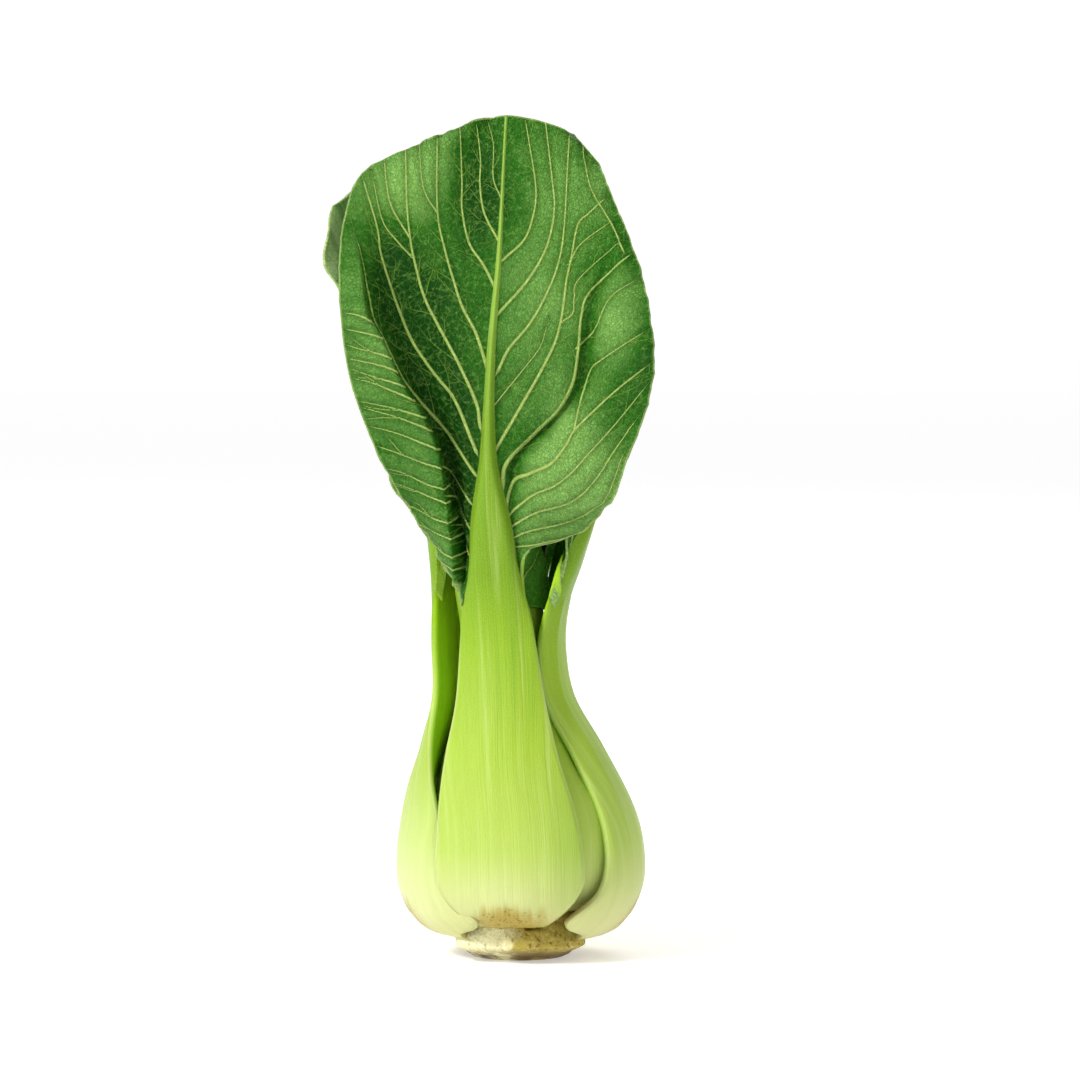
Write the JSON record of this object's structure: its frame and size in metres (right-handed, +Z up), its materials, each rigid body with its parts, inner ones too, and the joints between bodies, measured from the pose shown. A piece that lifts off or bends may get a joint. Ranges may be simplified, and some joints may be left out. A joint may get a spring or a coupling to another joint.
{
  "type": "bok choy",
  "caption": "Upright head of green-stemmed bok choy: a bulb of thick pale stalks on a flat cut root, a narrow neck and broad dark green veined blades.",
  "frame": {"origin": "middle of the cut root face that the head stands on", "axes": "+Z up along the head; -Y towards the big front leaf; +X to the right as seen from the front"},
  "size_m": [0.0766, 0.0713, 0.1987],
  "materials": {
    "stalk": "smooth waxy fresh stalk, pale cream green at the base and greener at the neck",
    "blade": "satin dark green leaf with pale veins and fine puckering",
    "stump": "matt cream root end with brown specks and a browned cut face"
  },
  "bodies": {
    "root": {"stump": "stump", "front_leaf_stalk": "stalk", "front_leaf_blade": "blade", "second_leaf_stalk": "stalk", "second_leaf_blade": "blade", "right_leaf_stalk": "stalk", "right_leaf_blade": "blade", "left_leaf_stalk": "stalk", "left_leaf_blade": "blade", "back_leaf_stalk": "stalk", "back_leaf_blade": "blade", "inner_leaf_back_right_stalk": "stalk", "inner_leaf_back_right_blade": "blade", "inner_leaf_left_stalk": "stalk", "inner_leaf_left_blade": "blade", "inner_leaf_right_stalk": "stalk", "inner_leaf_right_blade": "blade", "inner_leaf_back_left_stalk": "stalk", "inner_leaf_back_left_blade": "blade", "heart_leaf_1_stalk": "stalk", "heart_leaf_1_blade": "blade", "heart_leaf_2_stalk": "stalk", "heart_leaf_2_blade": "blade", "heart_leaf_3_stalk": "stalk", "heart_leaf_3_blade": "blade"}
  },
  "joints": []
}
